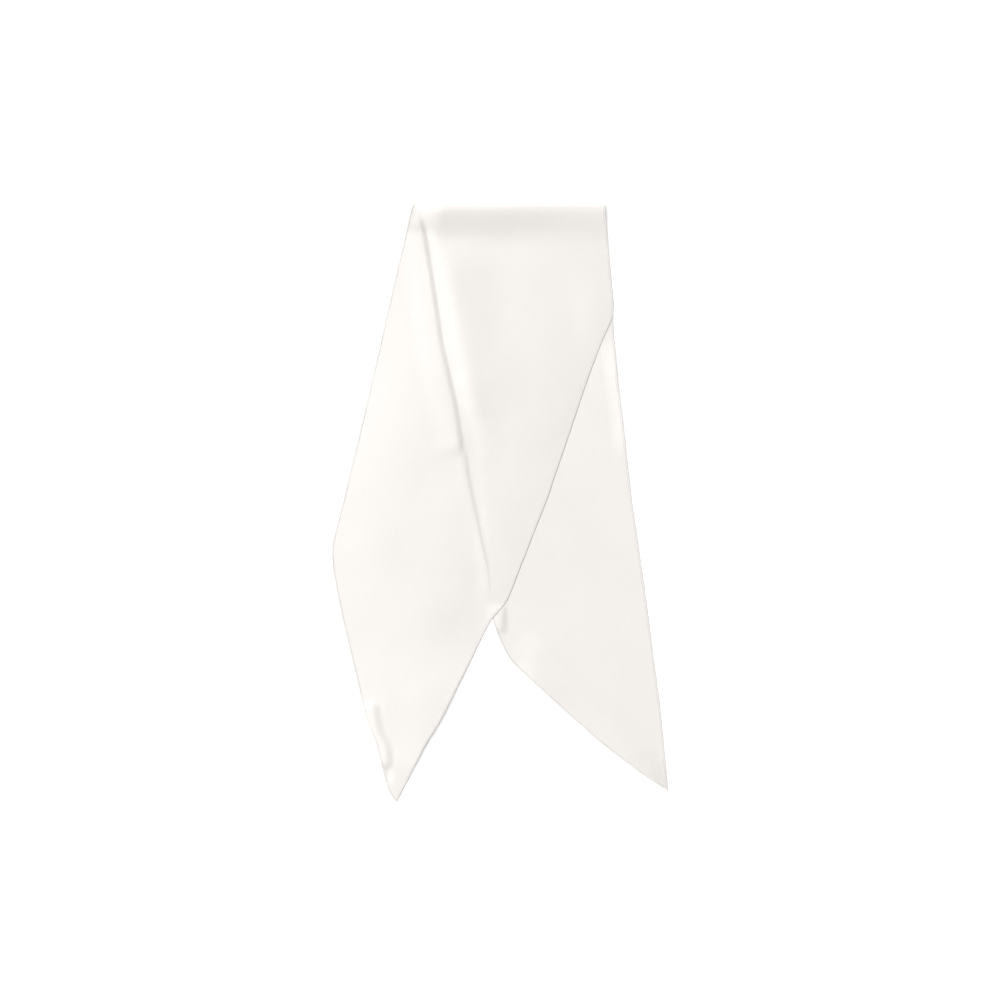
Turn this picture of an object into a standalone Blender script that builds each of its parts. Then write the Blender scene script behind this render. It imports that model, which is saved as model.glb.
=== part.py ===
"""A silk neck scarf, laid flat and folded once across its middle.

The strip lies back and front: the back tail flat on the surface, a soft unpressed roll at the fold,
and the front tail swung to the left over it. A narrow hem runs all round. The origin is the middle of
the laid outline, on the surface; +Y points from the tips to the fold, and the model is in metres.
"""

from collections import namedtuple
from math import cos, hypot, pi, sin

import bmesh
import bpy
from mathutils import Matrix, Vector

# The laid scarf
FOLD_WIDTH = 0.1544        # the strip's width at the fold
FRONT_DROP = 0.4792        # from the fold's edge down to the front tip
BACK_DROP = 0.4708         # from the fold's edge down to the back tip
FOLD_DIP = 0.0014          # how much lower the fold's right end lies than its left end

# The cloth
CLOTH = 0.0010             # wall of the silk
HEM_WIDTH = 0.0022
JOIN_GAP = 0.0003          # between the silk and a hem, and between two hems
LAYER_GAP = 0.0005         # between the tails where one lies on the other
TIP_WIDTH = 0.0006         # the hem's width at the very tip

# The soft roll at the fold
ROLL_HEIGHT = 0.0080       # over the cloth
ROLL_REACH = 0.0360        # from the fold's edge to where the front tail lies flat
CORNER_REACH = 0.0260      # the same, at the roll's left corner
DIP_REACH = 0.0720         # how far below the fold its slant is still felt

# The step where the front tail drops off the back tail's left hem
STEP_REACH = 0.0046        # its width by the fold
STEP_REACH_LOW = 0.0028    # its width where the tails part
RIDGE_HEIGHT = 0.0024      # the soft ridge along the top of the step
RIDGE_REACH = 0.0230       # how far the ridge spreads over the front tail
RIDGE_RUN = 0.80           # where the ridge dies out, as a share of the way to where the tails part

# How finely the cloth is cut into faces
ROW_SPACING = 0.0100
CROSSING_SPACING = 0.0025  # the same, where the front tail's hem crosses the back tail's
CROSSING_ROWS = 5
ROLL_ROWS = 8
STEP_COLUMNS = 2
LEFT_COLUMNS = 8           # between the front tail's left edge and the step
RIGHT_COLUMNS = 13         # between the step and the right edge
CORNER_ROUNDING = 0.0030   # how far an edge's corners are eased, along the drop
HALVINGS = 40              # in the searches for a place along a tail

# Each tail's edges. down is a share of the tail's drop; left and right are shares of FOLD_WIDTH,
# measured from the fold's left end.
Section = namedtuple("Section", "down left right")

FRONT_TAIL = [
    Section(0.000, 0.000, 1.000),
    Section(0.170, -0.122, 1.047),
    Section(0.191, -0.137, 1.044),
    Section(0.233, -0.167, 0.984),
    Section(0.295, -0.210, 0.912),
    Section(0.498, -0.360, 0.699),
    Section(0.563, -0.412, 0.619),
    Section(0.582, -0.420, 0.598),
    Section(0.607, -0.415, 0.565),
    Section(0.647, -0.394, 0.518),
    Section(0.665, -0.383, 0.495),
    Section(0.682, -0.372, 0.453),
    Section(0.698, -0.361, 0.407),
    Section(0.834, -0.262, 0.199),
    Section(0.867, -0.233, 0.147),
    Section(0.904, -0.189, 0.074),
    Section(0.939, -0.163, 0.018),
    Section(0.981, -0.127, -0.048),
    Section(1.000, -0.091, -0.075),
]

BACK_TAIL = [
    Section(0.000, 0.016, 1.000),
    Section(0.047, 0.080, 1.012),
    Section(0.172, 0.153, 1.040),
    Section(0.237, 0.184, 1.051),
    Section(0.308, 0.240, 1.070),
    Section(0.400, 0.295, 1.104),
    Section(0.502, 0.334, 1.140),
    Section(0.613, 0.394, 1.189),
    Section(0.681, 0.409, 1.218),
    Section(0.710, 0.412, 1.230),
    Section(0.749, 0.459, 1.245),
    Section(0.777, 0.503, 1.256),
    Section(0.791, 0.544, 1.262),
    Section(0.856, 0.762, 1.288),
    Section(0.918, 0.974, 1.307),
    Section(0.970, 1.181, 1.321),
    Section(0.995, 1.301, 1.328),
    Section(1.000, 1.321, 1.332),
]

# Where each left hem turns into a cut end
FRONT_CORNER_DOWN = 0.582  # share of FRONT_DROP
BACK_CORNER_DOWN = 0.784   # share of BACK_DROP

# Soft folds that lift the front tail. across and down are shares of FOLD_WIDTH and FRONT_DROP from the
# fold's left end; height is a share of RIDGE_HEIGHT and reach a share of RIDGE_REACH.
Fold = namedtuple("Fold", "start_across start_down end_across end_down height reach")

FRONT_FOLDS = [
    Fold(0.180, 0.290, 0.330, 0.370, 0.45, 0.60),
    Fold(-0.300, 0.550, 0.040, 0.700, 0.40, 0.90),
    Fold(0.860, 0.270, 0.640, 0.400, 0.25, 0.70),
    Fold(-0.205, 0.860, -0.125, 0.945, 0.75, 0.35),
]

SILK_COLOUR = (0.905, 0.880, 0.868, 1.0)
HEM_COLOUR = (0.930, 0.915, 0.905, 1.0)
SILK_ROUGHNESS = 0.42
HEM_ROUGHNESS = 0.55


def smooth(share):
    """0 below 0, 1 above 1, and an eased step between."""
    share = min(max(share, 0.0), 1.0)
    return share * share * (3.0 - 2.0 * share)


class Tail:
    """One tail's edges, as distances across from the fold's left end, against the distance down."""

    def __init__(self, sections, drop):
        self.drop = drop
        self.downs = [row.down * drop for row in sections]
        self.lefts = [row.left * FOLD_WIDTH for row in sections]
        self.rights = [row.right * FOLD_WIDTH for row in sections]

    def straight(self, values, down):
        """The edge as a chain of straight lines."""
        for i in range(len(self.downs) - 2, 0, -1):
            if down > self.downs[i]:
                break
        else:
            i = 0
        run = self.downs[i + 1] - self.downs[i]
        return values[i] + (values[i + 1] - values[i]) * (down - self.downs[i]) / run

    def eased(self, values, down):
        """The same edge with its corners rounded, but not at its two ends."""
        reach = min(CORNER_ROUNDING, down, self.drop - down)
        above = self.straight(values, down - reach)
        below = self.straight(values, down + reach)
        return (above + 2.0 * self.straight(values, down) + below) / 4.0

    def left(self, down):
        return self.eased(self.lefts, down)

    def right(self, down):
        return self.eased(self.rights, down)

    def inset(self, edge, down, width):
        """How far across lies a line that is this width in from an edge."""
        nudge = CORNER_ROUNDING / 4.0
        above = max(down - nudge, 0.0)
        below = min(down + nudge, self.drop)
        slope = (edge(below) - edge(above)) / (below - above)
        return width * hypot(1.0, slope)

    def room(self, down):
        """How wide the tail is between its edges."""
        return self.right(down) - self.left(down)


front = Tail(FRONT_TAIL, FRONT_DROP)
back = Tail(BACK_TAIL, BACK_DROP)

roll_radius = (ROLL_HEIGHT - CLOTH) / 2.0
roll_centre_down = ROLL_HEIGHT / 2.0
silk_inset = HEM_WIDTH + JOIN_GAP
low_height = CLOTH / 2.0
layered_height = CLOTH + LAYER_GAP + CLOTH / 2.0
roll_top_height = ROLL_HEIGHT - CLOTH / 2.0


def parting_down():
    """How far below the fold the front tail's right edge crosses the back tail's left edge."""
    top, bottom = 0.0, BACK_DROP
    for _ in range(HALVINGS):
        middle = (top + bottom) / 2.0
        if front.right(middle) > back.left(middle):
            top = middle
        else:
            bottom = middle
    return top


parting = parting_down()


def step_reach(down):
    """How wide the step beside the back tail's left hem is."""
    share = min(down / parting, 1.0)
    return STEP_REACH + (STEP_REACH_LOW - STEP_REACH) * share


def step_foot(down):
    """Where the front tail, coming off the back tail, meets the surface."""
    return back.left(min(down, BACK_DROP)) - step_reach(down)


def fold_lift(across, down):
    """How much the soft folds lift the front tail there."""
    lift = 0.0
    for fold in FRONT_FOLDS:
        start = Vector((fold.start_across * FOLD_WIDTH, fold.start_down * FRONT_DROP))
        end = Vector((fold.end_across * FOLD_WIDTH, fold.end_down * FRONT_DROP))
        run = end - start
        offset = Vector((across, down)) - start
        along = offset.dot(run) / run.length_squared
        away = abs(offset.cross(run)) / run.length
        ends = smooth(2.0 * along) * smooth(2.0 * (1.0 - along))
        side = 1.0 - smooth(away / (fold.reach * RIDGE_REACH))
        lift += fold.height * RIDGE_HEIGHT * ends * side
    return lift


def front_height(across, down):
    """Height of the middle of the front tail's wall above the surface."""
    below_roll = down - roll_centre_down
    past_foot = across - step_foot(down)
    reach = step_reach(down)
    climb = smooth(past_foot / reach)

    corner = 1.0 - smooth(below_roll / (CORNER_REACH - roll_centre_down))
    low = low_height + (roll_top_height - low_height) * corner

    roll = 1.0 - smooth(below_roll / (ROLL_REACH - roll_centre_down))
    fading = 1.0 - smooth(down / (RIDGE_RUN * parting))
    beside_step = 1.0 - smooth((past_foot - reach) / (RIDGE_REACH - reach))
    ridge = RIDGE_HEIGHT * fading * beside_step * (1.0 - roll)
    high = layered_height + (roll_top_height - layered_height) * roll + ridge

    return low + (high - low) * climb + fold_lift(across, down) * (1.0 - roll)


def front_point(across, down):
    return Vector((across, -down - dip(across, down), front_height(across, down)))


def back_point(across, down):
    return Vector((across, -down - dip(across, down), low_height))


def roll_point(across, turn):
    """A point round the roll: turn is 0 on its top and pi where it meets the surface."""
    down = roll_centre_down - roll_radius * sin(turn)
    height = roll_centre_down + roll_radius * cos(turn)
    return Vector((across, -down - dip(across, down), height))


def dip(across, down):
    """The fold isn't quite square to the drop: its right end lies lower."""
    share = min(max(across / FOLD_WIDTH, 0.0), 1.0)
    return FOLD_DIP * share * (1.0 - smooth(down / DIP_REACH))


def downs_between(tail, first, last, extra=()):
    """Distances down for a row at each section, at each extra place and evenly between them."""
    marks = list(tail.downs) + list(extra)
    if tail is front:
        crossing = range(-CROSSING_ROWS, CROSSING_ROWS + 1)
        marks += [parting + CROSSING_SPACING * i for i in crossing]
    marks = [down for down in sorted(marks) if first + JOIN_GAP < down < last - JOIN_GAP]
    marks = [first] + marks + [last]
    rows = [first]
    for above, below in zip(marks, marks[1:]):
        spacing = ROW_SPACING if above > ROLL_REACH else ROW_SPACING / 2.0
        steps = max(1, round((below - above) / spacing))
        rows += [above + (below - above) * i / steps for i in range(1, steps + 1)]
    return rows


def roll_turns():
    return [pi * i / ROLL_ROWS for i in range(1, ROLL_ROWS)]


def last_down(tail, needed):
    """The lowest place where a tail is still as wide as needed, given that width against down."""
    top, bottom = tail.drop / 2.0, tail.drop
    for _ in range(HALVINGS):
        middle = (top + bottom) / 2.0
        if tail.room(middle) > needed(middle):
            top = middle
        else:
            bottom = middle
    return top


def both_insets(tail, width):
    """The room that a strip of this width takes along both edges of a tail."""
    def room(down):
        return tail.inset(tail.left, down, width) + tail.inset(tail.right, down, width)
    return room


def spread(start, end, count):
    return [start + (end - start) * i / count for i in range(count + 1)]


def silk_row(tail, down):
    """Places across for one row of the silk panel, with columns along the step."""
    left = tail.left(down) + tail.inset(tail.left, down, silk_inset)
    right = tail.right(down) - tail.inset(tail.right, down, silk_inset)
    if tail is back:
        foot = top = left
    else:
        foot = min(max(step_foot(down), left), right)
        top = min(max(step_foot(down) + step_reach(down), left), right)
    row = spread(left, foot, LEFT_COLUMNS)
    row += spread(foot, top, STEP_COLUMNS)[1:]
    return row + spread(top, right, RIGHT_COLUMNS)[1:]


def cloth_object(name, rows, colour, roughness):
    """A closed wall of cloth over a grid of points given row by row."""
    mesh = bpy.data.meshes.new(name)
    grid = bmesh.new()
    verts = [[grid.verts.new(point) for point in row] for row in rows]
    for above, below in zip(verts, verts[1:]):
        for i in range(len(above) - 1):
            grid.faces.new((above[i], above[i + 1], below[i + 1], below[i]))
    bmesh.ops.remove_doubles(grid, verts=grid.verts, dist=JOIN_GAP / 3.0)
    bmesh.ops.dissolve_degenerate(grid, edges=grid.edges, dist=JOIN_GAP / 10.0)
    bmesh.ops.triangulate(grid, faces=grid.faces)
    grid.to_mesh(mesh)
    grid.free()
    mesh.shade_smooth()

    piece = bpy.data.objects.new(name, mesh)
    bpy.context.collection.objects.link(piece)
    wall = piece.modifiers.new("wall", "SOLIDIFY")
    wall.thickness = CLOTH
    wall.offset = 0.0
    mesh.materials.append(silk_material(name, colour, roughness))
    return piece


def silk_material(name, colour, roughness):
    material = bpy.data.materials.new(name)
    material.use_nodes = True
    shader = material.node_tree.nodes["Principled BSDF"]
    shader.inputs["Base Color"].default_value = colour
    shader.inputs["Roughness"].default_value = roughness
    shader.inputs["Metallic"].default_value = 0.0
    return material


def silk_panel():
    """The silk itself, from the front tip over the roll to the back tip."""
    room = both_insets(front, silk_inset)
    front_rows = downs_between(front, roll_centre_down, last_down(front, room))
    rows = [[front_point(x, down) for x in silk_row(front, down)] for down in reversed(front_rows)]

    over, under = silk_row(front, roll_centre_down), silk_row(back, roll_centre_down)
    for turn in roll_turns():
        share = turn / pi
        across = [a + (b - a) * share for a, b in zip(over, under)]
        rows.append([roll_point(x, turn) for x in across])

    room = both_insets(back, silk_inset)
    back_rows = downs_between(back, roll_centre_down, last_down(back, room))
    rows += [[back_point(x, down) for x in silk_row(back, down)] for down in back_rows]
    return cloth_object("silk_panel", rows, SILK_COLOUR, SILK_ROUGHNESS)


def tip_start(tail):
    """Where the cut end's hem stops, a gap short of the hem along the right edge."""
    room = both_insets(tail, HEM_WIDTH)
    return last_down(tail, lambda down: room(down) + 2.0 * JOIN_GAP)


def widening_down(tail):
    """Where the right edge's hem starts to widen until it fills the tip."""
    return tip_start(tail) + JOIN_GAP


def hem_strip(tail, edge, down):
    """The two sides of a hem along one edge. The right edge's hem closes the whole tip."""
    outer = edge(down)
    width = tail.inset(edge, down, HEM_WIDTH)
    if edge == tail.left:
        return [outer, outer + width]
    in_tip = down > widening_down(tail) + JOIN_GAP / 2.0
    inner = tail.left(down) if in_tip else outer - width
    return [min(inner, outer - TIP_WIDTH), outer]


def long_hem(name, side, front_end, back_end):
    """A hem along one long edge of the strip, from tail to tail round the roll."""
    front_edge, back_edge = getattr(front, side), getattr(back, side)
    rows = []
    for down in reversed(hem_downs(front, front_end)):
        rows.append([front_point(x, down) for x in hem_strip(front, front_edge, down)])
    over = hem_strip(front, front_edge, roll_centre_down)
    under = hem_strip(back, back_edge, roll_centre_down)
    for turn in roll_turns():
        share = turn / pi
        rows.append([roll_point(a + (b - a) * share, turn) for a, b in zip(over, under)])
    for down in hem_downs(back, back_end):
        rows.append([back_point(x, down) for x in hem_strip(back, back_edge, down)])
    return cloth_object(name, rows, HEM_COLOUR, HEM_ROUGHNESS)


def hem_downs(tail, end):
    """Rows for a long hem, with two close together where it widens to fill the tip."""
    widening = widening_down(tail)
    return downs_between(tail, roll_centre_down, end, (widening, widening + JOIN_GAP))


def end_hem(name, tail, point, corner_down):
    """The hem along a tail's slanting cut end, from its blunt corner to near its tip."""
    rows = []
    for down in downs_between(tail, corner_down + JOIN_GAP, tip_start(tail)):
        rows.append([point(x, down) for x in hem_strip(tail, tail.left, down)])
    return cloth_object(name, rows, HEM_COLOUR, HEM_ROUGHNESS)


def centre_on_surface(pieces):
    """Moves the pieces together so that the laid outline's middle is the origin."""
    corners = []
    shapes = bpy.context.evaluated_depsgraph_get()
    for piece in pieces:
        corners += [Vector(corner) for corner in piece.evaluated_get(shapes).bound_box]
    lowest = [min(corner[axis] for corner in corners) for axis in range(3)]
    highest = [max(corner[axis] for corner in corners) for axis in range(3)]
    middle = [(a + b) / 2.0 for a, b in zip(lowest, highest)]
    shift = Matrix.Translation((-middle[0], -middle[1], -lowest[2]))
    for piece in pieces:
        piece.data.transform(shift)


def main():
    for item in list(bpy.data.objects):
        bpy.data.objects.remove(item, do_unlink=True)
    front_corner = FRONT_CORNER_DOWN * FRONT_DROP
    back_corner = BACK_CORNER_DOWN * BACK_DROP
    pieces = [
        silk_panel(),
        long_hem("hem_left", "left", front_corner, back_corner),
        long_hem("hem_right", "right", FRONT_DROP, BACK_DROP),
        end_hem("hem_front_end", front, front_point, front_corner),
        end_hem("hem_back_end", back, back_point, back_corner),
    ]
    centre_on_surface(pieces)


main()
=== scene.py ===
import math

import bmesh
import bpy
import numpy as np
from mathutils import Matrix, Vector


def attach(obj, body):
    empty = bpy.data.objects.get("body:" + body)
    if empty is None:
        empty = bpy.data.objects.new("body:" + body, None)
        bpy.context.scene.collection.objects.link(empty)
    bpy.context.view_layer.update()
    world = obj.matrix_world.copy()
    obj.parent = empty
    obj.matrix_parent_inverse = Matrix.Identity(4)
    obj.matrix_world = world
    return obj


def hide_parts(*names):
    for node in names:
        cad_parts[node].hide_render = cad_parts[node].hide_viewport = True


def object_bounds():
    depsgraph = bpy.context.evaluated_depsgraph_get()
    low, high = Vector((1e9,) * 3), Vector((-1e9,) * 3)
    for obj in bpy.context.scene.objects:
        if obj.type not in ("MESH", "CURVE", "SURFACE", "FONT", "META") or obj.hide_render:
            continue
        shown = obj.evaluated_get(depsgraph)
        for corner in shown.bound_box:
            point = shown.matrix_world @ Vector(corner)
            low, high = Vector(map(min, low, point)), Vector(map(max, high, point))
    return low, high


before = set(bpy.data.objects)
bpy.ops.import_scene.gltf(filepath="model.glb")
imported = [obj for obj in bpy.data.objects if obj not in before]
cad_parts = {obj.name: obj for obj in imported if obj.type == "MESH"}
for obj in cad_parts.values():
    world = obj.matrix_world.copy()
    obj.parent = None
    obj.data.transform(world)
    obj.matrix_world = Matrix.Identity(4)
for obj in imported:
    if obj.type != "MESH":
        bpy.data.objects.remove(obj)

cadLow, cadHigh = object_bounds()
print("frame loaded, CAD box", [round(v, 4) for v in (*cadLow, *cadHigh)])

# lengths in the dictionaries are millimetres; across and down count from the fold's left end
mm = 0.001

# how the scarf lies

scarf = {
    "foldWidth": 154.4,
    "frontDrop": 479.2,
    "backDrop": 470.8,
    "foldDip": 1.4,          # the fold's right end lies this much lower in the view
    "cornerRounding": 3.0,
    "clothMiddle": 0.25,     # height of a layer's middle over the table
    "layeredMiddle": 0.50,   # and of the front tail's middle over the back tail
    "rollHeight": 4.9,
    "rollDepth": 5.6,        # from the fold's edge to the roll's top
    "rollThickness": 0.6,
    "rollLeftShare": 0.45,   # how high the roll still is at its two ends
    "rollRightShare": 0.62,
    "rollLeftRun": 26.0,     # and how far in from each end it reaches full height
    "rollRightRun": 95.0,
    "rollReach": 36.0,
    "rollSlump": 0.8,        # below 1 it falls away faster by its top
    "cornerReach": 26.0,
    "stepReach": 4.6,        # where the front tail drops off the back tail's hem
    "stepReachLow": 2.8,
    "frontBluntAt": 0.582,   # where each tail's cut end starts, as a share of its drop
    "backBluntAt": 0.784,
    "frontLean": -0.30,      # how far each tail's weave drifts across for each unit down
    "backLean": 0.16,
}

# where the front tail climbs onto the back tail, counted from the foot of the step at that tail's hem
climb = {
    "downs": [0, 30, 60, 200, 250, 300, 335],
    "starts": [0.5, 4.0, 4.8, 4.8, -2.0, -10.0, -14.0],
    "reaches": [5.0, 9.0, 13.0, 12.0, 14.0, 16.0, 16.0],
}

# down as a share of the drop, left and right edges as shares of the fold's width
frontEdges = [
    (0.000, 0.000, 1.000), (0.170, -0.122, 1.047), (0.191, -0.137, 1.044), (0.233, -0.167, 0.984),
    (0.295, -0.210, 0.912), (0.498, -0.360, 0.699), (0.563, -0.412, 0.619), (0.582, -0.420, 0.598),
    (0.607, -0.415, 0.565), (0.647, -0.394, 0.518), (0.665, -0.383, 0.495), (0.682, -0.372, 0.453),
    (0.698, -0.361, 0.407), (0.834, -0.262, 0.199), (0.867, -0.233, 0.147), (0.904, -0.189, 0.074),
    (0.939, -0.163, 0.018), (0.981, -0.127, -0.048), (1.000, -0.091, -0.075),
]
backEdges = [
    (0.000, 0.016, 1.000), (0.047, 0.080, 1.012), (0.172, 0.153, 1.040), (0.237, 0.184, 1.051),
    (0.308, 0.240, 1.070), (0.400, 0.295, 1.104), (0.502, 0.334, 1.140), (0.613, 0.394, 1.189),
    (0.681, 0.409, 1.218), (0.710, 0.412, 1.230), (0.749, 0.459, 1.245), (0.777, 0.503, 1.256),
    (0.791, 0.544, 1.262), (0.856, 0.762, 1.288), (0.918, 0.974, 1.307), (0.970, 1.181, 1.321),
    (0.995, 1.301, 1.328), (1.000, 1.321, 1.332),
]

rollDown = scarf["rollDepth"]


def eased(share):
    share = np.clip(share, 0.0, 1.0)
    return share * share * (3.0 - 2.0 * share)


class Tail:
    def __init__(self, rows, drop, leanAcross):
        table = np.array(rows)
        self.drop = drop
        self.downs = table[:, 0] * drop
        self.sides = {"left": table[:, 1] * scarf["foldWidth"], "right": table[:, 2] * scarf["foldWidth"]}
        self.leanAcross = leanAcross

    def edge(self, side, down):
        down = np.asarray(down, float)
        reach = np.minimum(scarf["cornerRounding"], np.minimum(down, self.drop - down))
        at = lambda d: np.interp(d, self.downs, self.sides[side])
        return (at(down - reach) + 2.0 * at(down) + at(down + reach)) / 4.0

    def slant(self, side, down):    # length along a level line for each unit square to the edge
        nudge = scarf["cornerRounding"] / 4
        above, below = np.maximum(down - nudge, 0.0), np.minimum(down + nudge, self.drop)
        return np.hypot(1.0, (self.edge(side, below) - self.edge(side, above)) / (below - above))

    def room(self, down):
        return self.edge("right", down) - self.edge("left", down)


frontTail = Tail(frontEdges, scarf["frontDrop"], scarf["frontLean"])
backTail = Tail(backEdges, scarf["backDrop"], scarf["backLean"])

fineSteps = 4001    # for looking up a place along a tail
downSamples = np.linspace(0.0, scarf["backDrop"], fineSteps)
covered = frontTail.edge("right", downSamples) > backTail.edge("left", downSamples)
parting = downSamples[np.nonzero(~covered)[0][0]]    # where the two tails leave each other


def stepReach(down):
    share = np.minimum(down / parting, 1.0)
    return scarf["stepReach"] + (scarf["stepReachLow"] - scarf["stepReach"]) * share


def stepFoot(down):
    return backTail.edge("left", np.minimum(down, scarf["backDrop"])) - stepReach(down)


# the front tail lies in one long soft billow: it climbs from its left edge and falls to its right edge
billow = {
    "downs": [20, 70, 120, 180, 240, 300, 350, 400, 450, 479],
    "heights": [0.7, 1.1, 1.9, 2.2, 1.5, 1.1, 1.3, 2.3, 2.9, 1.0],
    "reachLeft": 60.0,
    "reachRight": 80.0,
    "freeEdge": (330.0, 390.0),   # between these the right edge leaves the back tail and stays up
    "freeShare": 0.9,
}

# folds and creases that shape the cloth. path holds (across, down) points. left and right say how far a fold
# spreads on the view's left and right of a path that runs down the view, or below and above one that runs to
# the right. fade is the share of the path over which it dies out at each end

# on the front tail: the soft ridge beside its left line, hollows, and the dog-ear above its tip
frontFolds = {
    "ridge": dict(path=[(18, 18), (35, 78), (40, 118), (58, 174), (64, 222)],
        height=0.25, left=18, right=16, fade=0.25),
    "ridgeFoot": dict(path=[(22, 22), (40, 102), (59, 182)],
        height=0.8, left=22, right=45, fade=0.25),
    "ridgeEnd": dict(path=[(37, 135), (45, 154), (54, 178)],
        height=0.3, left=9, right=12, fade=0.3),
    "upperHollow": dict(path=[(46, 106), (150, 94)],
        height=-0.5, left=50, right=60, fade=0.25),
    "leftStreak": dict(path=[(-48, 254), (-22, 286), (10, 326), (26, 358)],
        height=0.3, left=25, right=25, fade=0.25),
    "leftLow": dict(path=[(-18, 350), (14, 390)],
        height=-0.15, left=30, right=30, fade=0.3),
    "tipHollow": dict(path=[(-12, 372), (-6, 460)],
        height=-0.2, left=14, right=22, fade=0.5),
    "leftSpine": dict(path=[(22, 214), (22, 286), (34, 350)],
        height=0.3, left=40, right=30, fade=0.3),
    "earCrest": dict(path=[(-33.5, 398.0), (-28.5, 423.0), (-22.0, 437.0), (-20.5, 454.0)],
        height=0.80, left=14.0, right=7.5, fade=0.12),
    "earFoot": dict(path=[(-20.0, 450.0), (-18.5, 464.0)],
        height=-0.35, left=4, right=6, fade=0.3),
}
# the line from the fold's left corner down to the notch: a low lip with the drop beside it, and lower down
# the back tail's hem showing through
lineFolds = {
    "stepLip": dict(path=[(2.6, 7.5), (7.0, 22.0), (13.4, 60.4), (17.6, 87.6), (21.4, 114.0), (26.4, 135.6),
                          (32.4, 162.0), (36.5, 188.4), (38.5, 205.0)],
        height=0.72, left=22, right=5.0, fade=0.06),
    "stepLipLow": dict(path=[(37.0, 180.0), (39.5, 207.0), (44.5, 232.0), (50.5, 258.0), (56.5, 286.0),
                             (59.0, 306.0)],
        height=0.32, left=36, right=6.5, fade=0.2),
    "hemShowing": dict(path=[(41.6, 196.0), (44.8, 222.8), (48.0, 236.4), (55.2, 271.6), (60.0, 292.4),
                             (62.4, 318.0)],
        height=0.14, left=12.0, right=1.8, fade=0.12),
}
# on the back tail: its right edge, its cut end and the small crease by the notch
backFolds = {
    "underHem": dict(path=[(160, 110), (126, 198), (90, 294), (82, 326)],
        height=0.3, left=60, right=60, fade=0.15),
    "rightEdge": dict(path=[(168, 110), (182, 198), (190, 286)],
        height=0.15, left=40, right=24, fade=0.2),
    "rightEdgeTop": dict(path=[(162, 102), (171, 158), (176, 214)],
        height=0.8, left=15, right=16, fade=0.25),
    "cutBand": dict(path=[(88, 344), (118, 376), (166, 420), (194, 452)],
        height=0.45, left=26, right=14, fade=0.15),
    "cutLift": dict(path=[(82, 368), (118, 404), (163, 436), (205, 470)],
        height=0.9, left=16, right=16, fade=0.15),
    "tip": dict(path=[(182, 430), (197, 460)],
        height=0.15, left=12, right=12, fade=0.3),
    "notchLip": dict(path=[(71.6, 320.4), (71.6, 332.4), (70.8, 346.0)],
        height=0.72, left=16, right=5.6, fade=0.25),
}


def liftFrom(folds, across, down):
    across, down = np.asarray(across, float), np.asarray(down, float)
    total = np.zeros(np.broadcast(across, down).shape)
    for fold in folds.values():
        path = np.array(fold["path"], float)
        lengths = np.hypot(*np.diff(path, axis=0).T)
        starts = np.concatenate([[0.0], np.cumsum(lengths)])
        nearest = np.full(total.shape, np.inf)
        along = np.zeros(total.shape)
        side = np.zeros(total.shape)
        for i, length in enumerate(lengths):
            run = path[i + 1] - path[i]
            offX, offY = across - path[i][0], down - path[i][1]
            share = np.clip((offX * run[0] + offY * run[1]) / length**2, 0.0, 1.0)
            away = np.hypot(offX - share * run[0], offY - share * run[1])
            closer = away < nearest
            nearest = np.where(closer, away, nearest)
            along = np.where(closer, (starts[i] + share * length) / starts[-1], along)
            side = np.where(closer, run[0] * offY - run[1] * offX, side)
        reach = np.where(side > 0, fold["left"], fold["right"])
        ends = eased(along / fold["fade"]) * eased((1.0 - along) / fold["fade"])
        total = total + fold["height"] * ends * (1.0 - eased(nearest / reach))
    return total


def billowShape(across, down):
    inside = np.clip(down, 0.0, frontTail.drop)
    rise = np.clip((across - frontTail.edge("left", inside)) / billow["reachLeft"], 0.0, 1.0)
    fall = np.clip((frontTail.edge("right", inside) - across) / billow["reachRight"], 0.0, 1.0)
    start, end = billow["freeEdge"]
    kept = billow["freeShare"] * eased((down - start) / (end - start))
    fall = 1.0 - (1.0 - fall) ** 2 * (1.0 - kept)
    return (1.0 - (1.0 - rise) ** 2) * fall


def rollRadius(across):
    left = scarf["rollLeftShare"] + (1.0 - scarf["rollLeftShare"]) * eased(across / scarf["rollLeftRun"])
    fromRight = eased((scarf["foldWidth"] - across) / scarf["rollRightRun"])
    full = left * (scarf["rollRightShare"] + (1.0 - scarf["rollRightShare"]) * fromRight)
    return full * (scarf["rollHeight"] - scarf["rollThickness"]) / 2


def backHeight(across, down):
    return scarf["clothMiddle"] + liftFrom(backFolds, across, down)


def frontHeight(across, down):
    across, down = np.broadcast_arrays(np.asarray(across, float), np.asarray(down, float))
    belowRoll = down - rollDown
    start, reach = (np.interp(down, climb["downs"], climb[key]) for key in ("starts", "reaches"))
    climbed = eased((across - stepFoot(down) - start) / reach)
    rollTop = scarf["rollThickness"] / 2 + 2.0 * rollRadius(across)
    corner = 1.0 - eased(belowRoll / (scarf["cornerReach"] - rollDown))
    low = scarf["clothMiddle"] + (rollTop - scarf["clothMiddle"]) * corner
    roll = 1.0 - eased(np.clip(belowRoll / (scarf["rollReach"] - rollDown), 0.0, 1.0) ** scarf["rollSlump"])
    high = scarf["layeredMiddle"] + (rollTop - scarf["layeredMiddle"]) * roll
    high = high + liftFrom(backFolds, across, np.minimum(down, scarf["backDrop"]))
    swell = np.interp(down, billow["downs"], billow["heights"]) * billowShape(across, down)
    lift = liftFrom(frontFolds, across, down) + swell
    return low + (high - low) * climbed + lift * (1.0 - roll) + liftFrom(lineFolds, across, down)


def dip(across, down):
    share = np.clip(across / scarf["foldWidth"], 0.0, 1.0)
    return scarf["foldDip"] * share * (1.0 - eased(down / (2.0 * scarf["rollReach"])))


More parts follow.
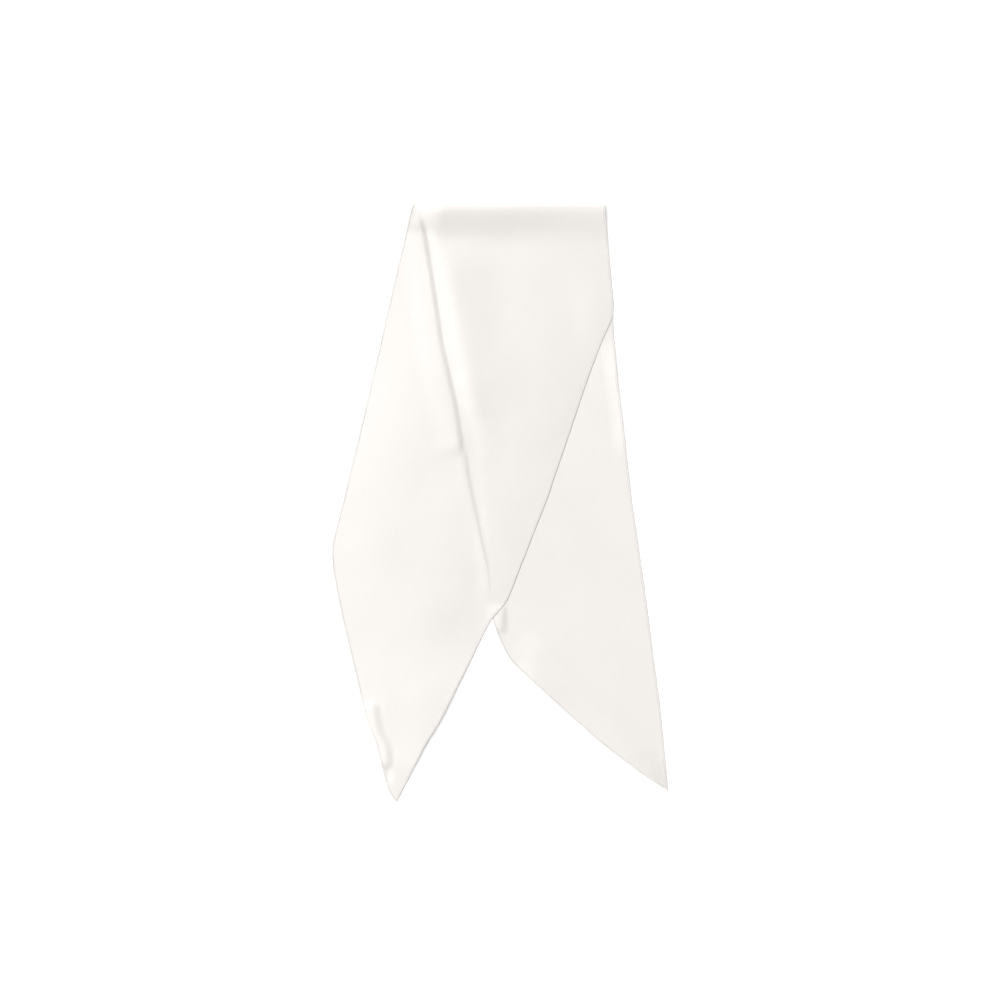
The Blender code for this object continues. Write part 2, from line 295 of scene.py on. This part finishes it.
edgeMarks = np.concatenate([frontTail.edge("left", frontTail.downs), backTail.edge("right", backTail.downs)])
middleAcross = (edgeMarks.min() + edgeMarks.max()) / 2
shiftX = (cadLow.x + cadHigh.x) / 2 - middleAcross * mm
shiftY = cadHigh.y


def inFrame(across, down, height):    # to metres in the row frame
    across, down, height = np.broadcast_arrays(across, down, height)
    return np.stack([across * mm + shiftX, -(down + dip(across, down)) * mm + shiftY, height * mm], axis=-1)


def frontPoint(across, down):
    return inFrame(across, down, frontHeight(across, down))


def backPoint(across, down):
    return inFrame(across, down, backHeight(across, down))


def rollPoint(across, turn):
    down = rollDown * (1.0 - math.sin(turn))
    radius = rollRadius(across)
    return inFrame(across, down, scarf["rollThickness"] / 2 + radius * (1.0 + math.cos(turn)))


# cloth meshes

silk = {
    "thickness": 0.20,
    "tuckedIn": 1.4,       # how far inside the outline the silk ends, under the hem
    "columns": 88,
    "rowSpacing": 2.1,
    "rollSpacing": 0.6,    # rows by the roll are this much closer
    "rollRows": 18,
    "stepCrowding": 5.0,   # finer columns beside the back tail's hem
    "stepWidth": 5.0,
    "crowdingSamples": 600,
    "mergeWithin": 0.05,
    "sliverUnder": 0.02,
    "rimAngle": 50.0,      # a sharp rim keeps the shading even up to the edge
}


def rowsDown(first, last, spacing):
    bend = scarf["rollReach"]
    near = np.linspace(first, bend, int((bend - first) / (spacing * silk["rollSpacing"])))
    far = np.linspace(bend, last, int((last - bend) / spacing))
    return np.concatenate([near, far[1:]])


def lastDown(tail):    # the lowest row with room between its two tucked edges
    downs = np.linspace(tail.drop / 2, tail.drop, fineSteps)
    tucked = silk["tuckedIn"] * (tail.slant("left", downs) + tail.slant("right", downs))
    return downs[np.nonzero(tail.room(downs) > tucked)[0][-1]]


def silkColumns(tail, down):
    left = tail.edge("left", down) + silk["tuckedIn"] * tail.slant("left", down)
    right = tail.edge("right", down) - silk["tuckedIn"] * tail.slant("right", down)
    places = np.linspace(left, right, silk["crowdingSamples"])
    density = np.ones(silk["crowdingSamples"])
    if tail is frontTail:
        away = (places - stepFoot(down) - stepReach(down) / 2) / silk["stepWidth"]
        density += silk["stepCrowding"] * np.exp(-away * away)
    total = np.concatenate([[0.0], np.cumsum((density[1:] + density[:-1]) / 2)])
    return np.interp(np.linspace(0.0, total[-1], silk["columns"] + 1), total, places)


def clothMesh(name, rows, flats, material, thickness):
    mesh = bpy.data.meshes.new(name)
    grid = bmesh.new()
    uvLayer = grid.loops.layers.uv.new("strip")
    verts = [[grid.verts.new(point) for point in row] for row in rows]
    for i in range(len(rows) - 1):
        for j in range(len(rows[i]) - 1):
            corners = ((i, j), (i, j + 1), (i + 1, j + 1), (i + 1, j))
            face = grid.faces.new([verts[a][b] for a, b in corners])
            face.smooth = True
            for loop, (a, b) in zip(face.loops, corners):
                loop[uvLayer].uv = flats[a][b]
    bmesh.ops.remove_doubles(grid, verts=grid.verts, dist=silk["mergeWithin"] * mm)
    bmesh.ops.dissolve_degenerate(grid, edges=grid.edges, dist=silk["sliverUnder"] * mm)
    grid.to_mesh(mesh)
    grid.free()
    piece = bpy.data.objects.new(name, mesh)
    bpy.context.collection.objects.link(piece)
    mesh.materials.append(material)
    wall = piece.modifiers.new("wall", "SOLIDIFY")
    wall.thickness = thickness * mm
    wall.offset = 0.0
    wall.use_even_offset = True
    walled = bpy.data.meshes.new_from_object(piece.evaluated_get(bpy.context.evaluated_depsgraph_get()))
    piece.modifiers.clear()
    piece.data = walled
    walled.name = name
    walled.set_sharp_from_angle(angle=math.radians(silk["rimAngle"]))
    bpy.data.meshes.remove(mesh)
    return piece


def flatPlace(tail, across, along):    # the place on the strip before it was folded
    over = (across - tail.leanAcross * along) * mm
    return np.stack([over, np.full(len(over), (along if tail is frontTail else -along) * mm)], axis=-1)


def buildSilk(material):
    frontRows = rowsDown(rollDown, lastDown(frontTail), silk["rowSpacing"])
    backRows = rowsDown(rollDown, lastDown(backTail), silk["rowSpacing"])
    rows, flats = [], []
    for down in frontRows[::-1]:
        across = silkColumns(frontTail, down)
        rows.append(frontPoint(across, down))
        flats.append(flatPlace(frontTail, across, down))
    over, under = silkColumns(frontTail, rollDown), silkColumns(backTail, rollDown)
    for turn in np.linspace(0.0, math.pi, silk["rollRows"] + 2)[1:-1]:
        across = over + (under - over) * turn / math.pi
        rows.append(rollPoint(across, turn))
        along = rollDown - (turn / math.pi) * (2.0 * rollDown)
        flats.append(np.stack([across * mm, np.full(len(across), along * mm)], axis=-1))
    for down in backRows:
        across = silkColumns(backTail, down)
        rows.append(backPoint(across, down))
        flats.append(flatPlace(backTail, across, down))
    return clothMesh("silkCloth", rows, flats, material, silk["thickness"])


# the rolled hem

hem = {
    "width": 2.2,
    "thickness": 0.26,
    "squareness": 0.6,    # below 1 the roll is flatter on top and fuller at its sides
    "sides": 10,
    "rowSpacing": 1.6,
    "waver": 0.30,        # how unevenly it was rolled, in millimetres
    "fullness": 0.10,     # and as a share of its thickness
    "unevenEvery": 6.0,
    "unevenSpare": 20.0,  # past the hem's end
    "seed": 7,
    "girth": 5.5,         # once round the rolled hem, for the weave and the painted shade on its inner side
    "cornerOverlap": 0.8,  # how far the hems run past the blunt corners into each other
    "tipShare": 0.9,      # by the tips it is at most this share of the room
    "tipRoom": 0.5,
    "longTipGap": 0.3,    # how far from the very tip the long hems and the end hems stop
    "endTipGap": 0.6,
}


def hemRows(tail, side, down):
    outer = tail.edge(side, down)
    width = hem["width"] * tail.slant(side, down)
    width = np.minimum(width, np.maximum(tail.room(down) * hem["tipShare"], hem["tipRoom"]))
    return outer, (outer + width if side == "left" else outer - width)


def hemRing(outer, inner, normal, fullness):
    middle, half = (outer + inner) / 2, (inner - outer) / 2
    ring = []
    for k in range(hem["sides"]):
        angle = 2.0 * math.pi * k / hem["sides"]
        bulge = math.copysign(abs(math.sin(angle)) ** hem["squareness"], math.sin(angle))
        ring.append(middle + half * math.cos(angle) + normal * (hem["thickness"] / 2 * mm * fullness * bulge))
    return ring


def buildHem(name, outers, inners, material):
    rng = np.random.default_rng(hem["seed"])
    count = len(outers)
    outers, inners = np.array(outers), np.array(inners)
    tangents = np.gradient(outers, axis=0)
    along = np.concatenate([[0.0], np.cumsum(np.linalg.norm(np.diff(outers, axis=0), axis=1))])
    knots = np.arange(0.0, along[-1] + hem["unevenSpare"] * mm, hem["unevenEvery"] * mm)
    fullness = 1.0 + hem["fullness"] * np.interp(along, knots, rng.uniform(-1, 1, len(knots)))
    waver = hem["waver"] * mm * np.interp(along, knots, rng.uniform(-1, 1, len(knots)))
    mesh = bpy.data.meshes.new(name)
    tube = bmesh.new()
    uvLayer = tube.loops.layers.uv.new("strip")
    rings = []
    for i in range(count):
        inward = inners[i] - outers[i]
        normal = np.cross(inward, tangents[i])
        normal = normal / max(np.linalg.norm(normal), 1e-12)
        shifted = inward / max(np.linalg.norm(inward), 1e-12) * abs(waver[i])
        rings.append([tube.verts.new(p) for p in hemRing(outers[i] + shifted, inners[i], normal, fullness[i])])
    sides = hem["sides"]
    for i in range(count - 1):
        for k in range(sides):
            quad = (rings[i][k], rings[i][(k + 1) % sides], rings[i + 1][(k + 1) % sides], rings[i + 1][k])
            face = tube.faces.new(quad)
            face.smooth = True
            places = ((k, i), (k + 1, i), (k + 1, i + 1), (k, i + 1))
            for loop, (a, b) in zip(face.loops, places):
                loop[uvLayer].uv = (a * hem["girth"] / sides * mm, along[b])
    for cap in (tube.faces.new(rings[0][::-1]), tube.faces.new(rings[-1])):
        for rim in cap.edges:
            rim.smooth = False    # so the cap's own shading doesn't darken the tip
    bmesh.ops.recalc_face_normals(tube, faces=tube.faces)
    tube.to_mesh(mesh)
    tube.free()
    piece = bpy.data.objects.new(name, mesh)
    bpy.context.collection.objects.link(piece)
    mesh.materials.append(material)
    return piece


def longHemPath(side, frontEnd, backEnd):
    outers, inners = [], []
    for down in rowsDown(rollDown, frontEnd, hem["rowSpacing"])[::-1]:
        outer, inner = hemRows(frontTail, side, down)
        outers.append(frontPoint(outer, down))
        inners.append(frontPoint(inner, down))
    over, under = hemRows(frontTail, side, rollDown), hemRows(backTail, side, rollDown)
    for turn in np.linspace(0.0, math.pi, silk["rollRows"] + 2)[1:-1]:
        share = turn / math.pi
        outers.append(rollPoint(over[0] + (under[0] - over[0]) * share, turn))
        inners.append(rollPoint(over[1] + (under[1] - over[1]) * share, turn))
    for down in rowsDown(rollDown, backEnd, hem["rowSpacing"]):
        outer, inner = hemRows(backTail, side, down)
        outers.append(backPoint(outer, down))
        inners.append(backPoint(inner, down))
    return outers, inners


def endHemPath(tail, point, cornerDown):
    outers, inners = [], []
    rowCount = int((tail.drop - cornerDown) / hem["rowSpacing"])
    for down in np.linspace(cornerDown, tail.drop - hem["endTipGap"], rowCount):
        outer, inner = hemRows(tail, "left", down)
        outers.append(point(outer, down))
        inners.append(point(inner, down))
    return outers, inners


# hem stitches along the inner side of every hem, laid by Geometry Nodes

stitches = {
    "pitch": 3.2,
    "length": 1.5,
    "width": 0.30,
    "height": 0.12,
    "slant": 0.5,
    "slantVariation": 0.18,
    "seed": 11,
    "inwards": 0.86,       # how far in from the edge they lie, as a share of the hem's width
    "raised": 0.30,        # and how far up, as a share of its thickness
}


def stitchTree(material):
    tree = bpy.data.node_groups.new("hemStitching", "GeometryNodeTree")
    face = tree.interface
    face.new_socket("Geometry", in_out="INPUT", socket_type="NodeSocketGeometry")
    sizes = {
        "Pitch": stitches["pitch"] * mm,
        "Stitch Length": stitches["length"] * mm,
        "Stitch Width": stitches["width"] * mm,
        "Stitch Height": stitches["height"] * mm,
        "Slant": stitches["slant"],
        "Slant Variation": stitches["slantVariation"],
    }
    for label in sizes:
        face.new_socket(label, in_out="INPUT", socket_type="NodeSocketFloat")
    face.new_socket("Seed", in_out="INPUT", socket_type="NodeSocketInt")
    face.new_socket("Geometry", in_out="OUTPUT", socket_type="NodeSocketGeometry")
    nodes, link = tree.nodes, tree.links.new
    given, out = nodes.new("NodeGroupInput"), nodes.new("NodeGroupOutput")
    toCurve = nodes.new("GeometryNodeMeshToCurve")
    resample = nodes.new("GeometryNodeResampleCurve")
    resample.mode = "LENGTH"
    tangent = nodes.new("GeometryNodeInputTangent")
    align = nodes.new("FunctionNodeAlignRotationToVector")
    align.axis = "X"
    ball = nodes.new("GeometryNodeMeshUVSphere")
    ball.inputs["Segments"].default_value = 8
    ball.inputs["Rings"].default_value = 6
    ball.inputs["Radius"].default_value = 0.5
    smooth = nodes.new("GeometryNodeSetShadeSmooth")
    size = nodes.new("ShaderNodeCombineXYZ")
    lean = nodes.new("FunctionNodeRandomValue")
    lean.data_type = "FLOAT"
    low, high = nodes.new("ShaderNodeMath"), nodes.new("ShaderNodeMath")
    low.operation, high.operation = "SUBTRACT", "ADD"
    turned = nodes.new("ShaderNodeCombineXYZ")
    toTurn = nodes.new("FunctionNodeEulerToRotation")
    rotate = nodes.new("FunctionNodeRotateRotation")
    rotate.rotation_space = "LOCAL"
    place = nodes.new("GeometryNodeInstanceOnPoints")
    real = nodes.new("GeometryNodeRealizeInstances")
    paint = nodes.new("GeometryNodeSetMaterial")
    paint.inputs["Material"].default_value = material
    link(given.outputs["Geometry"], toCurve.inputs["Mesh"])
    link(toCurve.outputs["Curve"], resample.inputs["Curve"])
    link(given.outputs["Pitch"], resample.inputs["Length"])
    link(resample.outputs["Curve"], place.inputs["Points"])
    link(tangent.outputs["Tangent"], align.inputs["Vector"])
    for node in (low, high):
        link(given.outputs["Slant"], node.inputs[0])
        link(given.outputs["Slant Variation"], node.inputs[1])
    link(low.outputs[0], lean.inputs[2])
    link(high.outputs[0], lean.inputs[3])
    link(given.outputs["Seed"], lean.inputs["Seed"])
    link(lean.outputs[1], turned.inputs["Z"])
    link(turned.outputs[0], toTurn.inputs[0])
    link(align.outputs[0], rotate.inputs[0])
    link(toTurn.outputs[0], rotate.inputs[1])
    link(rotate.outputs[0], place.inputs["Rotation"])
    link(ball.outputs["Mesh"], smooth.inputs["Geometry"])
    link(smooth.outputs[0], place.inputs["Instance"])
    link(given.outputs["Stitch Length"], size.inputs["X"])
    link(given.outputs["Stitch Width"], size.inputs["Y"])
    link(given.outputs["Stitch Height"], size.inputs["Z"])
    link(size.outputs[0], place.inputs["Scale"])
    link(place.outputs["Instances"], real.inputs["Geometry"])
    link(real.outputs[0], paint.inputs["Geometry"])
    link(paint.outputs[0], out.inputs["Geometry"])
    return tree, sizes


def buildStitches(paths, material):
    mesh = bpy.data.meshes.new("stitchPaths")
    points, edges = [], []
    for outers, inners in paths:
        outers, inners = np.array(outers), np.array(inners)
        normals = np.cross(inners - outers, np.gradient(outers, axis=0))
        normals /= np.maximum(np.linalg.norm(normals, axis=1), 1e-12)[:, None]
        if normals[len(normals) // 4, 2] < 0:    # the sewn face is the front tail's upper one
            normals = -normals
        raised = normals * (hem["thickness"] * stitches["raised"] * mm)
        line = outers + (inners - outers) * stitches["inwards"] + raised
        edges += [(len(points) + i, len(points) + i + 1) for i in range(len(line) - 1)]
        points += [tuple(p) for p in line]
    mesh.from_pydata(points, edges, [])
    carrier = bpy.data.objects.new("stitchPaths", mesh)
    bpy.context.collection.objects.link(carrier)
    tree, sizes = stitchTree(material)
    layer = carrier.modifiers.new("stitching", "NODES")
    layer.node_group = tree
    for item in tree.interface.items_tree:
        if item.in_out == "INPUT" and item.name in sizes:
            layer[item.identifier] = sizes[item.name]
        if item.in_out == "INPUT" and item.name == "Seed":
            layer[item.identifier] = stitches["seed"]
    shown = carrier.evaluated_get(bpy.context.evaluated_depsgraph_get())
    baked = bpy.data.meshes.new_from_object(shown)
    baked.name = "hemStitches"
    piece = bpy.data.objects.new("hemStitches", baked)
    bpy.context.collection.objects.link(piece)
    bpy.data.objects.remove(carrier, do_unlink=True)
    return piece


# materials

look = {
    "silkColour": (0.738, 0.711, 0.683, 1.0),
    "silkShade": (0.722, 0.695, 0.667, 1.0),
    "hemColour": (0.745, 0.722, 0.693, 1.0),
    "hemShade": (0.715, 0.690, 0.662, 1.0),
    # painted shade: a darker colour laid on the hem's inner side, standing in for the shade in the crease
    # against the silk
    "paintedCreaseShade": (0.420, 0.400, 0.378, 1.0),
    "paintedCreaseShadeWidth": 1.7,          # how much of the hem's girth the painted crease shade takes, each way from its inner side
    "threadColour": (0.770, 0.752, 0.725, 1.0),
    "silkRoughness": 0.32,
    "hemRoughness": 0.50,
    "threadRoughness": 0.45,
    "weavePitch": 0.34,        # millimetres between threads
    "weaveDepth": 0.010,
    "slubDepth": 0.011,
    "warpFloat": 0.6,          # how far the warp covers the weft
    "warpSlub": (900.0, 28.0, 3.0),    # how dense across and along the strip, and how detailed
    "weftSlub": (40.0, 700.0, 3.0),
    "cloud": (16.0, 11.0, 4.0),
    "warpShare": 0.65,
    "slubInTone": 0.45,
    "shadeFrom": 0.36,
    "shadeTo": 0.64,
    "roughnessSpread": 0.25,   # how much rougher a thick thread is than a thin one
    "creaseDepth": 0.05,
    "creaseSpacing": 22.0,
    "creaseDetail": 1.5,
    "creaseDistortion": 0.6,
    "twistScale": 1800.0,      # of the sewing thread
    "twistDepth": 0.03,
    "sheen": 0.12,
    "sheenRoughness": 0.35,
    "anisotropy": 0.35,
    "specular": 0.5,
}


def addNode(tree, kind, **settings):
    node = tree.nodes.new(kind)
    for key, value in settings.items():
        setattr(node, key, value)
    return node


def mathNode(tree, operation, first, second=None):
    node = addNode(tree, "ShaderNodeMath", operation=operation)
    for socket, value in zip(node.inputs, (first, second)):
        if isinstance(value, bpy.types.NodeSocket):
            tree.links.new(value, socket)
        elif value is not None:
            socket.default_value = value
    return node.outputs[0]


def newGroup(name, inputs, outputs):
    group = bpy.data.node_groups.new(name, "ShaderNodeTree")
    for label, kind, value in inputs:
        socket = group.interface.new_socket(label, in_out="INPUT", socket_type=kind)
        if value is not None:
            socket.default_value = value
    for label, kind in outputs:
        group.interface.new_socket(label, in_out="OUTPUT", socket_type=kind)
    return group, group.nodes.new("NodeGroupInput"), group.nodes.new("NodeGroupOutput")


def weaveGroup():
    number, colour, vector = "NodeSocketFloat", "NodeSocketColor", "NodeSocketVector"
    group, given, out = newGroup(
        "silkWeave",
        [("Place", vector, None), ("Colour", colour, look["silkColour"]), ("Shade", colour, look["silkShade"]),
         ("Roughness", number, look["silkRoughness"]), ("Thread Pitch", number, look["weavePitch"] * mm),
         ("Weave Depth", number, look["weaveDepth"] * mm), ("Slub Depth", number, look["slubDepth"] * mm)],
        [("Colour", colour), ("Roughness", number), ("Height", number)])
    link = group.links.new
    split = addNode(group, "ShaderNodeSeparateXYZ")
    link(given.outputs["Place"], split.inputs[0])

    def blend(first, second, share):
        return mathNode(group, "ADD", mathNode(group, "MULTIPLY", first, share),
                        mathNode(group, "MULTIPLY", second, 1.0 - share))

    turns = mathNode(group, "DIVIDE", 2.0 * math.pi, given.outputs["Thread Pitch"])
    warp = mathNode(group, "SINE", mathNode(group, "MULTIPLY", split.outputs["X"], turns))
    weft = mathNode(group, "SINE", mathNode(group, "MULTIPLY", split.outputs["Y"], turns))
    threads = blend(warp, mathNode(group, "MULTIPLY", warp, weft), look["warpFloat"])

    def streaks(scaleX, scaleY, detail):
        stretch = addNode(group, "ShaderNodeMapping")
        stretch.inputs["Scale"].default_value = (scaleX, scaleY, 1.0)
        noise = addNode(group, "ShaderNodeTexNoise", noise_dimensions="2D")
        noise.inputs["Scale"].default_value = 1.0
        noise.inputs["Detail"].default_value = detail
        link(given.outputs["Place"], stretch.inputs["Vector"])
        link(stretch.outputs[0], noise.inputs["Vector"])
        return noise.outputs["Fac"]

    slub = blend(streaks(*look["warpSlub"]), streaks(*look["weftSlub"]), look["warpShare"])
    tone = blend(slub, streaks(*look["cloud"]), look["slubInTone"])
    shadeMask = addNode(group, "ShaderNodeMapRange", interpolation_type="SMOOTHSTEP")
    shadeMask.inputs["From Min"].default_value = look["shadeFrom"]
    shadeMask.inputs["From Max"].default_value = look["shadeTo"]
    link(tone, shadeMask.inputs["Value"])
    mix = addNode(group, "ShaderNodeMix", data_type="RGBA")
    link(shadeMask.outputs[0], mix.inputs["Factor"])
    link(given.outputs["Colour"], mix.inputs[6])
    link(given.outputs["Shade"], mix.inputs[7])
    link(mix.outputs[2], out.inputs["Colour"])
    uneven = mathNode(group, "MULTIPLY", mathNode(group, "SUBTRACT", slub, 0.5), look["roughnessSpread"])
    link(mathNode(group, "ADD", given.outputs["Roughness"], uneven), out.inputs["Roughness"])
    height = mathNode(group, "ADD", mathNode(group, "MULTIPLY", threads, given.outputs["Weave Depth"]),
                      mathNode(group, "MULTIPLY", slub, given.outputs["Slub Depth"]))
    link(height, out.inputs["Height"])
    return group


weave = weaveGroup()


def clothMaterial(name, colour, shade, roughness, creaseDepth, paintedCreaseShade=None):
    material = bpy.data.materials.new(name)
    material.use_nodes = True
    tree = material.node_tree
    shader = tree.nodes["Principled BSDF"]
    link = tree.links.new
    place = addNode(tree, "ShaderNodeUVMap", uv_map="strip")
    cloth = addNode(tree, "ShaderNodeGroup", node_tree=weave)
    cloth.inputs["Colour"].default_value = colour
    cloth.inputs["Shade"].default_value = shade
    cloth.inputs["Roughness"].default_value = roughness
    link(place.outputs["UV"], cloth.inputs["Place"])
    height = cloth.outputs["Height"]
    if creaseDepth:
        where = addNode(tree, "ShaderNodeTexCoord")
        creases = addNode(tree, "ShaderNodeTexNoise")
        creases.inputs["Scale"].default_value = 1.0 / (look["creaseSpacing"] * mm)
        creases.inputs["Detail"].default_value = look["creaseDetail"]
        creases.inputs["Distortion"].default_value = look["creaseDistortion"]
        link(where.outputs["Object"], creases.inputs["Vector"])
        creased = mathNode(tree, "MULTIPLY", creases.outputs["Fac"], creaseDepth * mm)
        height = mathNode(tree, "ADD", height, creased)
    bump = addNode(tree, "ShaderNodeBump")
    bump.inputs["Strength"].default_value = 1.0
    bump.inputs["Distance"].default_value = 1.0
    link(height, bump.inputs["Height"])
    shown = cloth.outputs["Colour"]
    if paintedCreaseShade:    # painted shade: the hem is darkened on its inner side, in the crease where it meets the silk
        split = addNode(tree, "ShaderNodeSeparateXYZ")
        link(place.outputs["UV"], split.inputs[0])
        halfRound = hem["girth"] / 2
        fromOuter = mathNode(tree, "ABSOLUTE", mathNode(tree, "SUBTRACT", split.outputs["X"], halfRound * mm))
        creaseShadeMask = addNode(tree, "ShaderNodeMapRange", interpolation_type="SMOOTHSTEP")
        creaseShadeMask.inputs["From Min"].default_value = (halfRound - look["paintedCreaseShadeWidth"]) * mm
        creaseShadeMask.inputs["From Max"].default_value = halfRound * mm
        link(fromOuter, creaseShadeMask.inputs["Value"])
        shadedHem = addNode(tree, "ShaderNodeMix", data_type="RGBA")
        shadedHem.inputs[7].default_value = paintedCreaseShade
        link(creaseShadeMask.outputs[0], shadedHem.inputs["Factor"])
        link(shown, shadedHem.inputs[6])
        shown = shadedHem.outputs[2]
    link(shown, shader.inputs["Base Color"])
    link(cloth.outputs["Roughness"], shader.inputs["Roughness"])
    link(bump.outputs["Normal"], shader.inputs["Normal"])
    shader.inputs["Sheen Weight"].default_value = look["sheen"]
    shader.inputs["Sheen Roughness"].default_value = look["sheenRoughness"]
    shader.inputs["Anisotropic"].default_value = look["anisotropy"]
    shader.inputs["Specular IOR Level"].default_value = look["specular"]
    return material


def twistedThread(name, colour, shade):
    material = bpy.data.materials.new(name)
    material.use_nodes = True
    tree = material.node_tree
    shader = tree.nodes["Principled BSDF"]
    link = tree.links.new
    where = addNode(tree, "ShaderNodeTexCoord")
    twist = addNode(tree, "ShaderNodeTexWave", wave_type="BANDS", bands_direction="DIAGONAL")
    twist.inputs["Scale"].default_value = look["twistScale"]
    twist.inputs["Distortion"].default_value = 1.0
    strand = addNode(tree, "ShaderNodeMix", data_type="RGBA")
    strand.inputs[6].default_value = colour
    strand.inputs[7].default_value = shade
    bump = addNode(tree, "ShaderNodeBump")
    bump.inputs["Distance"].default_value = look["twistDepth"] * mm
    link(where.outputs["Object"], twist.inputs["Vector"])
    link(twist.outputs["Fac"], strand.inputs["Factor"])
    link(twist.outputs["Fac"], bump.inputs["Height"])
    link(strand.outputs[2], shader.inputs["Base Color"])
    link(bump.outputs["Normal"], shader.inputs["Normal"])
    shader.inputs["Roughness"].default_value = look["threadRoughness"]
    return material


silkMaterial = clothMaterial("wovenSilk", look["silkColour"], look["silkShade"], look["silkRoughness"],
                             look["creaseDepth"])
# the hem's material carries the painted crease shade on its inner side
hemMaterial = clothMaterial("rolledHemSilk", look["hemColour"], look["hemShade"], look["hemRoughness"], 0.0,
                            look["paintedCreaseShade"])
threadMaterial = twistedThread("hemThread", look["threadColour"], look["hemShade"])
print("materials ready")

# build

silkCloth = buildSilk(silkMaterial)
print("silk built,", len(silkCloth.data.polygons), "faces")
frontCorner = scarf["frontBluntAt"] * scarf["frontDrop"]
backCorner = scarf["backBluntAt"] * scarf["backDrop"]
hemPaths = {
    "hemLeft": longHemPath("left", frontCorner + hem["cornerOverlap"], backCorner + hem["cornerOverlap"]),
    "hemRight": longHemPath("right", frontTail.drop - hem["longTipGap"], backTail.drop - hem["longTipGap"]),
    "hemFrontEnd": endHemPath(frontTail, frontPoint, frontCorner - hem["cornerOverlap"]),
    "hemBackEnd": endHemPath(backTail, backPoint, backCorner - hem["cornerOverlap"]),
}
hems = {name: buildHem(name, *path, hemMaterial) for name, path in hemPaths.items()}
print("hems built")
hemStitches = buildStitches(hemPaths.values(), threadMaterial)
print("stitches laid,", len(hemStitches.data.polygons), "faces")

standsFor = [(silkCloth, "silk_panel"), (hems["hemLeft"], "hem_left"), (hems["hemRight"], "hem_right"),
             (hems["hemFrontEnd"], "hem_front_end"), (hems["hemBackEnd"], "hem_back_end")]
for piece, nodeName in standsFor:
    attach(piece, "root")
    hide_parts(nodeName)
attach(hemStitches, "root")

# floor, light and camera

studio = {
    "floorSize": 6.0,
    "floorColour": (1.0, 1.0, 1.0, 1.0),
    "floorRoughness": 0.9,
    "floorSpecular": 0.1,
    "floorGlow": 0.28,       # the table is lit from below, as a light table is
    "ambient": 0.224,
    "lights": {
        "sideKey": dict(strength=4.14, elevation=27.0, comesFrom=(-0.95, 0.30), softness=66.0),
        "topKey": dict(strength=1.41, elevation=34.0, comesFrom=(-0.05, 1.0), softness=60.0),
        "overhead": dict(strength=0.56, elevation=75.0, comesFrom=(-0.95, 0.30), softness=14.0),
    },
    "viewWidth": 800.0,      # how much of the table the view takes in
    "viewMiddle": 1.6,       # how far above the part's middle the view is centred
    "lens": 100.0,
    "sensor": 36.0,
}

floorMesh = bpy.data.meshes.new("table")
half = studio["floorSize"] / 2
floorCorners = [(-half, -half, 0), (half, -half, 0), (half, half, 0), (-half, half, 0)]
floorMesh.from_pydata(floorCorners, [], [(0, 1, 2, 3)])
floor = bpy.data.objects.new("table", floorMesh)
bpy.context.collection.objects.link(floor)
floorMaterial = bpy.data.materials.new("paleTable")
floorMaterial.use_nodes = True
floorShader = floorMaterial.node_tree.nodes["Principled BSDF"]
floorShader.inputs["Base Color"].default_value = studio["floorColour"]
floorShader.inputs["Roughness"].default_value = studio["floorRoughness"]
floorShader.inputs["Emission Color"].default_value = (1.0, 1.0, 1.0, 1.0)
floorShader.inputs["Emission Strength"].default_value = studio["floorGlow"]
floorShader.inputs["Specular IOR Level"].default_value = studio["floorSpecular"]
floorMesh.materials.append(floorMaterial)

world = bpy.data.worlds.new("studioWorld")
world.use_nodes = True
world.node_tree.nodes["Background"].inputs["Color"].default_value = (1, 1, 1, 1)
world.node_tree.nodes["Background"].inputs["Strength"].default_value = studio["ambient"]
bpy.context.scene.world = world

for lightName, made in studio["lights"].items():
    elevation = math.radians(made["elevation"])
    towards = Vector((*made["comesFrom"], 0)).normalized() * math.cos(elevation)
    towards.z = math.sin(elevation)
    lamp = bpy.data.lights.new(lightName, "SUN")
    lamp.energy = made["strength"]
    lamp.angle = math.radians(made["softness"])
    light = bpy.data.objects.new(lightName, lamp)
    light.rotation_mode = "QUATERNION"
    light.rotation_quaternion = towards.to_track_quat("Z", "Y")
    bpy.context.collection.objects.link(light)

cameraData = bpy.data.cameras.new("viewCamera")
cameraData.lens = studio["lens"]
cameraData.sensor_width = studio["sensor"]
camera = bpy.data.objects.new("viewCamera", cameraData)
distance = studio["viewWidth"] * mm * studio["lens"] / studio["sensor"]
camera.location = (0.0, studio["viewMiddle"] * mm, distance)
bpy.context.collection.objects.link(camera)
bpy.context.scene.camera = camera
bpy.context.scene.view_settings.view_transform = "Standard"
print("camera", round(distance, 3), "m over the table")
